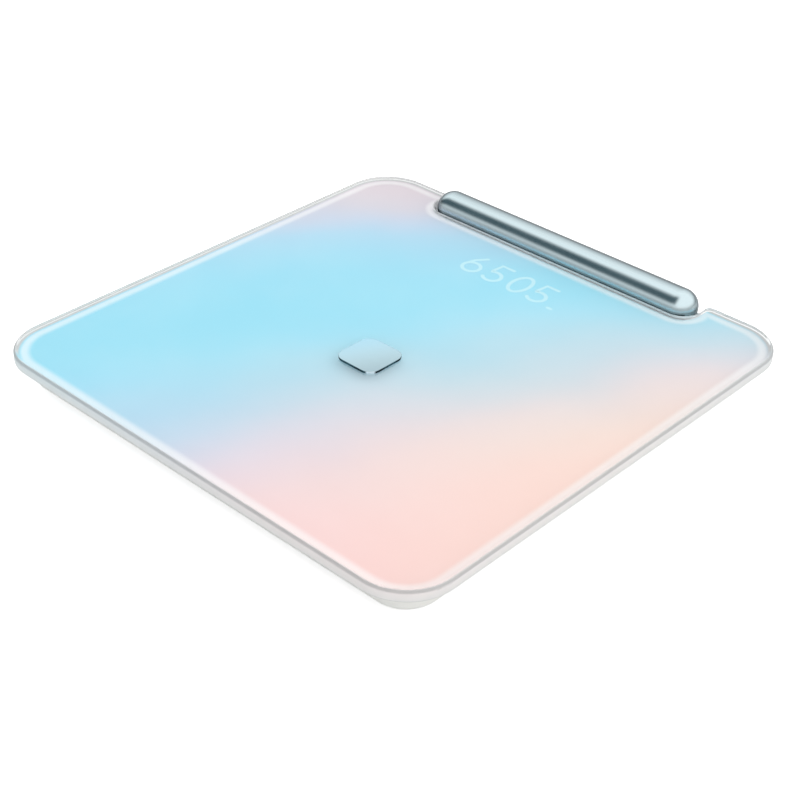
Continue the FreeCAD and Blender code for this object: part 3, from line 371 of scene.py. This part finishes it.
def badge_metal():
    """The centre badge: satin metal with a painted reflection that pales to the back left, painted
    shade on its sides and a painted glint at its front corner.
    """
    look = Look("polished_metal", Metallic=1.0)
    low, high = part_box("centre_badge")
    middle = (low + high) / 2
    paling = Vector((0.87, -0.5, 0.0))
    centre = paling.dot(middle)
    # Painted reflection: the top's colour pales towards the back left.
    tint = look.ramp(look.remap(look.dot(paling), centre - BADGE_REACH, centre + BADGE_REACH,
                                0.0, 1.0), BADGE_PAINTED_REFLECTION)
    brushed = look.noise(1.0, 4.0, 0.6, look.stretched((60.0, 2200.0, 900.0)))
    # Painted shade: upright sides take the dark colours, mottled by noise.
    side = look.remap(look.axis("Z", look.facing), 0.35, 0.9, 1.0, 0.0, True)
    swell = look.noise(190.0, 1.0, 0.4)
    painted_side_shade = look.mix(look.remap(swell, 0.4, 0.6, 0.0, 1.0), BADGE_SIDE_SHADE_DARK, BADGE_SIDE_SHADE_LIGHT)
    # Painted highlight: a glint on the sides near the front corner.
    sideways, onwards = Vector((0.707, 0.707, 0.0)), Vector((0.707, -0.707, 0.0))
    off_corner = look.math("ABSOLUTE", look.math("SUBTRACT", look.dot(sideways),
                                                 sideways.dot(middle)))
    forward = look.remap(look.dot(onwards), onwards.dot(middle),
                         onwards.dot(middle) + 14 * MM, 0.0, 1.0)
    near_corner = look.remap(off_corner, 1.6 * MM, 3.2 * MM, 1.0, 0.0, True)
    painted_glint = look.math("MULTIPLY", near_corner, forward)
    look.feed(look.mix(side, tint, look.mix(painted_glint, painted_side_shade, BADGE_PAINTED_GLINT)), "Base Color")
    look.feed(look.remap(brushed, 0.3, 0.7, 0.16, 0.26), "Roughness")
    look.bump(brushed, 0.002 * MM)
    return look


def circuit_board():
    """Green solder mask over copper runs, with a tinned via here and there."""
    look = Look("board_green", Roughness=0.32, Coat_Weight=0.4)
    grid = look.add("TexBrick", offset=0.35, squash=0.6, squash_frequency=3)
    for socket, value in (("Scale", 260.0), ("Mortar Size", 0.055), ("Brick Width", 0.9),
                          ("Row Height", 0.22), ("Mortar Smooth", 0.3)):
        grid.inputs[socket].default_value = value
    look.join(look.where, grid.inputs["Vector"])
    runs = look.remap(grid.outputs["Fac"], 0.0, 1.0, 0.0, 1.0)
    cells = look.add("TexVoronoi", feature="F1")
    cells.inputs["Scale"].default_value = 230.0
    look.join(look.where, cells.inputs["Vector"])
    vias = look.remap(cells.outputs["Distance"], 0.09, 0.12, 1.0, 0.0)
    mask = look.mix(runs, (0.010, 0.085, 0.035, 1.0), (0.020, 0.150, 0.060, 1.0))
    look.feed(look.mix(vias, mask, (0.62, 0.60, 0.52, 1.0)), "Base Color")
    look.feed(look.math("MULTIPLY", vias, 0.9), "Metallic")
    look.bump(look.math("ADD", runs, vias), 0.03 * MM)
    return look


def battery_sleeve():
    """Plain printed sleeves: a dark body, a copper band at the plus end, silver ends."""
    look = Look("battery_silver", Metallic=0.55)
    low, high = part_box("battery_cells")
    middle = (low.y + high.y) / 2
    away = look.math("SUBTRACT", look.axis("Y"), middle)
    band = look.ramp(look.remap(away, -25 * MM, 25 * MM, 0.0, 1.0), [
        (0.0, (0.70, 0.70, 0.68, 1.0)), (0.075, (0.62, 0.27, 0.10, 1.0)),
        (0.26, (0.030, 0.034, 0.040, 1.0)), (0.92, (0.72, 0.72, 0.70, 1.0))], smooth=False)
    band.node.color_ramp.interpolation = "CONSTANT"
    scuff = look.noise(260.0, 4.0, 0.65)
    look.feed(look.mix(look.remap(scuff, 0.55, 0.8, 0.0, 0.25), band, (0.45, 0.45, 0.44, 1.0)),
              "Base Color")
    look.feed(look.remap(scuff, 0.3, 0.7, 0.24, 0.38), "Roughness")
    look.bump(scuff, 0.004 * MM)
    return look


def rubber():
    """Soft grey foot rubber: fine pores and a dusty bloom."""
    look = Look("rubber_grey", Roughness=0.85)
    pores = look.noise(2400.0, 4.0, 0.7)
    bloom = look.noise(90.0, 3.0, 0.6)
    look.feed(look.mix(look.remap(bloom, 0.35, 0.7, 0.0, 0.6),
                       tone(118, 121, 124), tone(146, 148, 150)), "Base Color")
    look.feed(look.remap(pores, 0.3, 0.7, 0.74, 0.92), "Roughness")
    look.bump(pores, 0.03 * MM)
    return look


LOOKS = {
    "clear_glass": clear_glass(),
    "decor_film": decor_film(),
    "polished_metal": badge_metal(),
    "handle_steel": bar_steel(),
    "board_green": circuit_board(),
    "battery_silver": battery_sleeve(),
    "rubber_grey": rubber(),
    "tape_white": moulded("tape_white", tone(236, 238, 238), 0.7, 0.5 * MM, 0.02 * MM),
    "tray_white": moulded("tray_white", tone(244, 245, 241), 0.42, 0.45 * MM, 0.010 * MM, 0.03),
    "cradle_white": moulded("cradle_white", tone(222, 228, 231), 0.36, 0.4 * MM, 0.008 * MM,
                            0.03),
    "foot_white": moulded("foot_white", tone(228, 231, 232), 0.5, 0.5 * MM, 0.012 * MM),
    "core_grey": moulded("core_grey", tone(96, 100, 104), 0.55),
    "chip_black": moulded("chip_black", tone(38, 39, 41), 0.5, 0.12 * MM, 0.006 * MM, 0.2),
    "connector_white": moulded("connector_white", tone(238, 233, 219), 0.5),
    "light_box_white": moulded("light_box_white", tone(240, 240, 238), 0.6),
    "diffuser_white": moulded("diffuser_white", tone(244, 246, 247), 0.55, 0.2 * MM, 0.01 * MM,
                              0.03),
    "led_yellow": moulded("led_yellow", tone(246, 214, 92), 0.3, 0.2 * MM, 0.004 * MM, 0.1),
    "reel_grey": moulded("reel_grey", tone(150, 154, 158), 0.5),
    "drum_white": moulded("drum_white", tone(226, 226, 222), 0.45),
    "button_grey": moulded("button_grey", tone(168, 173, 178), 0.4, 0.3 * MM, 0.01 * MM),
    "wire_black": moulded("wire_black", tone(34, 34, 36), 0.48, 0.5 * MM, 0.01 * MM, 0.2),
    "ribbon_white": moulded("ribbon_white", tone(236, 236, 232), 0.45, 0.3 * MM, 0.01 * MM),
    "electrode_steel": metal("electrode_steel", tone(214, 222, 226), 0.2),
    "magnet_nickel": metal("magnet_nickel", tone(206, 206, 200), 0.16, (500.0, 500.0, 500.0)),
    "cell_steel": metal("cell_steel", tone(190, 193, 196), 0.32, (900.0, 40.0, 900.0)),
    "contact_nickel": metal("contact_nickel", tone(216, 212, 200), 0.22, (900.0, 900.0, 60.0)),
    "spring_blue": metal("spring_blue", tone(110, 128, 156), 0.22, (900.0, 900.0, 40.0)),
    "screw_zinc": metal("screw_zinc", tone(196, 200, 206), 0.26, (700.0, 700.0, 700.0)),
}

SMOOTH_BELOW = math.radians(32)
WIDE_FLATS = ("glass_platform", "centre_badge", "base_tray", "handle_cradle")
# These cast no shadow through the glass, so the film stays evenly lit round them.
SHADOWLESS = ("centre_badge", "handle_tube", "handle_cap_left", "handle_cap_right")


def keep_flats(mesh):
    """Sharp edges round every level face, so that a large flat one shades evenly."""
    build = bmesh.new()
    build.from_mesh(mesh)
    for edge in build.edges:
        level = [abs(face.normal.z) > 0.9999 for face in edge.link_faces]
        if any(level) and not all(level):
            edge.smooth = False
    build.to_mesh(mesh)
    build.free()


for name, item in nodes.items():
    item.data.materials.clear()
    item.data.materials.append(LOOKS[slot_of[name]].material)
    item.data.shade_smooth()
    item.data.set_sharp_from_angle(angle=SMOOTH_BELOW)
    if name in WIDE_FLATS:
        keep_flats(item.data)
    if name in SHADOWLESS:
        item.visible_transmission = False
        item.visible_shadow = False
    weighted = item.modifiers.new("even_shading", "WEIGHTED_NORMAL")
    weighted.keep_sharp = True


# ---------------------------------------------------------------- display digits

def lit_ink():
    """The lit strokes of the display, as they glow through the film."""
    look = Look("lit_ink", Base_Color=film_colour((198, 242, 253)), Specular_IOR_Level=0.0,
                Emission_Color=(0.78, 0.97, 1.0, 1.0), Emission_Strength=0.02)
    speck = look.noise(1500.0, 2.0)
    look.feed(look.remap(speck, 0.3, 0.7, 0.5, 0.7), "Roughness")
    look.bump(speck, 0.003 * MM)
    return look


def arc(centre_x, centre_y, radius_x, radius_y, start, end, steps):
    """Points on part of an ellipse; angles in degrees, anticlockwise from +X."""
    return [(centre_x + radius_x * math.cos(math.radians(start + (end - start) * i / steps)),
             centre_y + radius_y * math.sin(math.radians(start + (end - start) * i / steps)))
            for i in range(steps + 1)]


def stroke_mesh(name, lines, width, bottom, thickness):
    """Flat strokes with round ends, from lines of points, as one closed mesh each."""
    mesh = bpy.data.meshes.new(name)
    build = bmesh.new()
    for layer, (points, closed) in enumerate(lines):
        low = bottom + layer * thickness / 5
        path = [(Vector((x, y, low)), width / 2) for x, y in points]
        if not closed:
            path = round_end(path[1], path[0])[::-1] + path + round_end(path[-2], path[-1])
        rings = []
        for i, (point, half) in enumerate(path):
            before = path[i - 1][0] if (i > 0 or closed) else point
            after = path[(i + 1) % len(path)][0] if (i < len(path) - 1 or closed) else point
            run = (after - before).normalized()
            side = Vector((-run.y, run.x, 0)) * half
            rise = Vector((0, 0, thickness))
            corners = (point + side, point + side + rise, point - side + rise, point - side)
            rings.append([build.verts.new(corner) for corner in corners])
        joined = zip(rings, rings[1:] + (rings[:1] if closed else []))
        for first, second in joined:
            for k in range(4):
                build.faces.new((first[k], first[k - 3], second[k - 3], second[k]))
        if not closed:
            build.faces.new(rings[0])
            build.faces.new(rings[-1])
    bmesh.ops.recalc_face_normals(build, faces=build.faces)
    build.to_mesh(mesh)
    build.free()
    item = bpy.data.objects.new(name, mesh)
    bpy.context.scene.collection.objects.link(item)
    return item


def round_end(before, last):
    """Extra points, each with its half width, that round off a stroke past its last point."""
    outward = (last[0] - before[0]).normalized()
    angles = (math.radians(angle) for angle in (20, 40, 58, 73, 84))
    return [(last[0] + outward * last[1] * math.sin(a), last[1] * math.cos(a)) for a in angles]


def dress(item, material, body):
    """Give a piece its material and the body it rides on."""
    item.data.materials.append(material)
    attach(item, body)
    return item


light_low, light_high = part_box("display_light_box")
digit_y = (light_low.y + light_high.y) / 2
digit_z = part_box("decor_film")[1].z + 0.02 * MM
DIGIT_HEIGHT = 20.7 * MM
DIGIT_WIDTH = 13.2 * MM
STROKE = 2.2 * MM
INK_THICKNESS = 0.05 * MM
READING = (("6", -29.1), ("5", -12.9), ("0", 4.3), ("5", 19.6))   # figure, place along X in mm
MARK_START, MARK_END, MARK_DROP = 31.0 * MM, 33.4 * MM, 9.2 * MM


def digit_lines(symbol, x):
    """The strokes of one rounded figure, centred at x."""
    half_h = DIGIT_HEIGHT / 2 - STROKE / 2
    half_w = DIGIT_WIDTH / 2 - STROKE / 2
    bowl = half_h * 0.56
    if symbol == "0":
        return [(arc(x, digit_y, half_w, half_h, 0, 348.75, 31), True)]
    if symbol == "6":
        ring = arc(x, digit_y - half_h + bowl, half_w, bowl, 0, 348.75, 31)
        tail = [(x - half_w * 0.93, digit_y - half_h + bowl + 1.5 * MM),
                (x - half_w * 0.62, digit_y + half_h * 0.35),
                (x + half_w * 0.25, digit_y + half_h)]
        return [(ring, True), (tail, False)]
    top = [(x + half_w * 0.85, digit_y + half_h), (x - half_w * 0.62, digit_y + half_h),
           (x - half_w * 0.78, digit_y + 0.8 * MM)]
    bowl_y = digit_y - half_h + bowl
    return [(top + arc(x - 0.1 * half_w, bowl_y, half_w * 1.0, bowl, 128, -142, 20), False)]


mark_y = digit_y - MARK_DROP
lit_strokes = {f"digit_{number}": digit_lines(symbol, x * MM)
               for number, (symbol, x) in enumerate(READING, start=1)}
lit_strokes["unit_mark"] = [([(MARK_START, mark_y), (MARK_END, mark_y)], False)]
lit = lit_ink()
for name, lines in lit_strokes.items():
    dress(stroke_mesh(name, lines, STROKE, digit_z, INK_THICKNESS), lit.material,
          "platform")


# ---------------------------------------------------------------- notch shade strip

def strip_along(name, points, width, bottom, height):
    """A thin upright strip that follows a line of points, as one closed mesh."""
    mesh = bpy.data.meshes.new(name)
    build = bmesh.new()
    rings = []
    for i, (x, y) in enumerate(points):
        before = Vector((*points[max(i - 1, 0)], 0))
        after = Vector((*points[min(i + 1, len(points) - 1)], 0))
        run = (after - before).normalized()
        side = Vector((-run.y, run.x, 0)) * width / 2
        low = Vector((x, y, bottom))
        high = Vector((x, y, bottom + height))
        crown = Vector((x, y, bottom + height + width / 3))
        corners = (low - side, low + side, high + side, crown, high - side)
        rings.append([build.verts.new(corner) for corner in corners])
    count = len(rings[0])
    for first, second in zip(rings, rings[1:]):
        for k in range(count):
            build.faces.new((first[k - 1], first[k], second[k], second[k - 1]))
    build.faces.new(rings[0])
    build.faces.new(rings[-1])
    bmesh.ops.recalc_face_normals(build, faces=build.faces)
    build.to_mesh(mesh)
    build.free()
    item = bpy.data.objects.new(name, mesh)
    bpy.context.scene.collection.objects.link(item)
    return item


def notch_line(inset):
    """The notch's front edge in plan, moved inwards, with part of the corner at each end."""
    half = NOTCH_HALF - inset
    front = NOTCH_FRONT + inset
    radius = NOTCH_CORNER - inset
    turns = [40 + i * 50 / 8 for i in range(9)]
    left = [(-half + radius - radius * math.cos(math.radians(a)),
             front + radius - radius * math.sin(math.radians(a))) for a in turns]
    right = [(-x, y) for x, y in reversed(left)]
    return left + right


# Painted shade: a thin dark strip along the notch's front wall stands in for the shadow gap under
# the handle.
SHADE_STRIP = 0.3 * MM
SHADE_STRIP_GAP = 0.05 * MM
SHADE_STRIP_HEIGHT = 4.9 * MM
shade_strip = strip_along("notch_shade_strip", notch_line(SHADE_STRIP_GAP + SHADE_STRIP / 2), SHADE_STRIP,
                   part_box("glass_platform")[0].z, SHADE_STRIP_HEIGHT)
shade_strip_look = moulded("notch_painted_shade", tone(58, 68, 72), 0.55, 0.4 * MM, 0.01 * MM, 0.15)
dress(shade_strip, shade_strip_look.material, "platform")


# ---------------------------------------------------------------- studio

TENT_BRIGHTNESS = 1.30
FLOOR_HALF = 4.0
FLOOR_PARTS = 8
FLAG_RISE = (90, 118)     # degrees round the handle's direction, up from +Y: where the flag darkens
FLAG_FALL = (142, 168)    # and where it lightens again
FLAG_COLOUR = (0.02, 0.055, 0.07, 1.0)
CAMERA_ANGLES = (43.04, 33.553, 0.897)                # azimuth, elevation and roll in degrees
CAMERA_TARGET = Vector((32.397, -35.828, 24.0)) * MM
CAMERA_DISTANCE = 0.81949
CAMERA_LENS = 74.6


def studio_floor():
    """A wide matt white sweep under the scale."""
    mesh = bpy.data.meshes.new("studio_floor")
    build = bmesh.new()
    bmesh.ops.create_grid(build, x_segments=FLOOR_PARTS, y_segments=FLOOR_PARTS, size=FLOOR_HALF)
    build.to_mesh(mesh)
    build.free()
    floor = bpy.data.objects.new("studio_floor", mesh)
    bpy.context.scene.collection.objects.link(floor)
    look = Look("studio_white", Base_Color=(0.9, 0.9, 0.9, 1.0), Emission_Color=WHITE)
    seen = look.add("LightPath").outputs["Is Camera Ray"]
    look.feed(look.math("MULTIPLY", seen, 0.62), "Emission Strength")
    paper = look.noise(220.0, 3.0)
    look.feed(look.remap(paper, 0.3, 0.7, 0.85, 0.95), "Roughness")
    floor.data.materials.append(look.material)


def studio_sky():
    """A white tent, dimmer towards the horizon, with one long dark flag beside the handle."""
    world = bpy.data.worlds.new("studio_sky")
    world.use_nodes = True
    tree = world.node_tree
    background = tree.nodes["Background"]

    def add(kind, **settings):
        item = tree.nodes.new("ShaderNode" + kind)
        for key, value in settings.items():
            setattr(item, key, value)
        return item

    def remap(source, low, high, new_low, new_high):
        item = add("MapRange", interpolation_type="SMOOTHSTEP")
        for socket, value in zip(("From Min", "From Max", "To Min", "To Max"),
                                 (low, high, new_low, new_high)):
            item.inputs[socket].default_value = value
        tree.links.new(source, item.inputs["Value"])
        return item.outputs["Result"]

    def math_node(operation, first, second):
        item = add("Math", operation=operation)
        for socket, value in zip(item.inputs, (first, second)):
            if isinstance(value, float):
                socket.default_value = value
            else:
                tree.links.new(value, socket)
        return item.outputs["Value"]

    parts = add("SeparateXYZ")
    tree.links.new(add("TexCoord").outputs["Generated"], parts.inputs["Vector"])
    x, y, z = (parts.outputs[axis] for axis in "XYZ")
    around = math_node("ARCTAN2", z, y)
    flag = math_node("MULTIPLY", remap(around, *map(math.radians, FLAG_RISE), 0.0, 1.0),
                     remap(around, *map(math.radians, FLAG_FALL), 1.0, 0.0))
    flag = math_node("MULTIPLY", flag, remap(x, -0.20, 0.20, 0.97, 0.0))
    tent = remap(z, 0.0, 0.42, 0.37, 1.0)
    shade = add("Mix", data_type="RGBA")
    tree.links.new(flag, shade.inputs[0])
    shade.inputs[6].default_value = WHITE
    shade.inputs[7].default_value = FLAG_COLOUR
    seen = add("Mix", data_type="FLOAT")
    tree.links.new(add("LightPath").outputs["Is Camera Ray"], seen.inputs[0])
    tree.links.new(math_node("MULTIPLY", tent, TENT_BRIGHTNESS), seen.inputs[2])
    seen.inputs[3].default_value = 1.0
    tree.links.new(shade.outputs[2], background.inputs["Color"])
    tree.links.new(seen.outputs[0], background.inputs["Strength"])
    bpy.context.scene.world = world


def photo_camera():
    """The camera at the photograph's angle."""
    azimuth, elevation, roll = map(math.radians, CAMERA_ANGLES)
    back = Vector((math.sin(azimuth) * math.cos(elevation),
                   -math.cos(azimuth) * math.cos(elevation), math.sin(elevation)))
    right = Vector((math.cos(azimuth), math.sin(azimuth), 0.0))
    up = back.cross(right)
    camera_x = right * math.cos(roll) + up * math.sin(roll)
    camera_y = up * math.cos(roll) - right * math.sin(roll)
    data = bpy.data.cameras.new("photo_camera")
    data.sensor_width = 36.0
    data.lens = CAMERA_LENS
    data.clip_start = 0.01
    camera = bpy.data.objects.new("photo_camera", data)
    turned = Matrix((camera_x, camera_y, back)).transposed().to_4x4()
    turned.translation = CAMERA_TARGET + back * CAMERA_DISTANCE
    camera.matrix_world = turned
    bpy.context.scene.collection.objects.link(camera)
    bpy.context.scene.camera = camera


studio_floor()
studio_sky()
photo_camera()
bpy.context.scene.view_settings.view_transform = "Standard"
